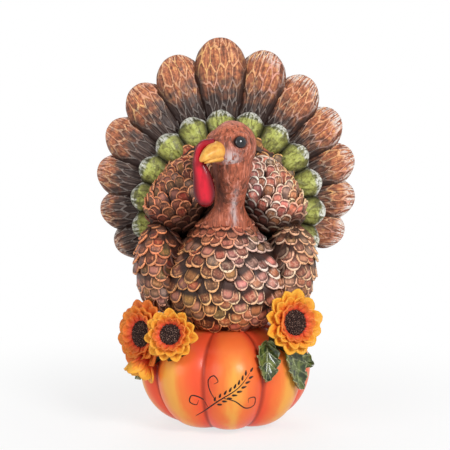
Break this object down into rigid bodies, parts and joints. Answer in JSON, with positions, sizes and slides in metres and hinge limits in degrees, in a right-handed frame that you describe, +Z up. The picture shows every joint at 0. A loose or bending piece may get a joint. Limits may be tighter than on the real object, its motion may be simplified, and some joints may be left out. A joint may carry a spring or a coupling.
{
  "type": "thanksgiving turkey figure",
  "caption": "Standing table figure of a turkey with a fanned tail sitting on a ribbed pumpkin, with sunflowers and leaves at its sides.",
  "frame": {"origin": "centre of the felt pad's underside, where the figure rests on a table", "axes": "+Z up; -Y the way the turkey's breast faces; +X to the right of someone who looks at the breast"},
  "size_m": [0.1622, 0.1044, 0.2353],
  "materials": {
    "felt": "matte",
    "base_resin": "matte",
    "pumpkin_paint": "satin",
    "plumage_brown": "matte",
    "skin_rust": "satin",
    "beak_yellow": "satin",
    "snood_red": "gloss",
    "eye_black": "gloss",
    "tail_paint": "matte",
    "plumage_green": "matte",
    "petal_orange": "satin",
    "seed_brown": "matte",
    "leaf_green": "gloss"
  },
  "bodies": {
    "root": {"body": "plumage_brown", "bud_right": "petal_orange", "closing_plate": "base_resin", "eye_left": "eye_black", "eye_right": "eye_black", "felt_pad": "felt", "green_feather_1": "plumage_green", "green_feather_10": "plumage_green", "green_feather_11": "plumage_green", "green_feather_12": "plumage_green", "green_feather_2": "plumage_green", "green_feather_3": "plumage_green", "green_feather_4": "plumage_green", "green_feather_5": "plumage_green", "green_feather_6": "plumage_green", "green_feather_7": "plumage_green", "green_feather_8": "plumage_green", "green_feather_9": "plumage_green", "head": "skin_rust", "leaf_left_inner": "leaf_green", "leaf_left_middle": "leaf_green", "leaf_left_outer": "leaf_green", "leaf_right_back": "leaf_green", "leaf_right_lower": "leaf_green", "lower_beak": "beak_yellow", "mantle": "plumage_brown", "neck": "skin_rust", "pumpkin_shell": "pumpkin_paint", "rump": "plumage_brown", "seed_disc_left": "seed_brown", "seed_disc_right_back": "seed_brown", "seed_disc_right_front": "seed_brown", "shoulder_left": "plumage_brown", "shoulder_right": "plumage_brown", "snood": "snood_red", "sunflower_left": "petal_orange", "sunflower_right_back": "petal_orange", "sunflower_right_front": "petal_orange", "tail_feather_left_1": "tail_paint", "tail_feather_left_2": "tail_paint", "tail_feather_left_3": "tail_paint", "tail_feather_left_4": "tail_paint", "tail_feather_left_5": "tail_paint", "tail_feather_left_6": "tail_paint", "tail_feather_right_1": "tail_paint", "tail_feather_right_2": "tail_paint", "tail_feather_right_3": "tail_paint", "tail_feather_right_4": "tail_paint", "tail_feather_right_5": "tail_paint", "tail_feather_right_6": "tail_paint", "tail_feather_top": "tail_paint", "upper_beak": "beak_yellow", "wing_left": "plumage_brown", "wing_right": "plumage_brown"}
  },
  "joints": []
}
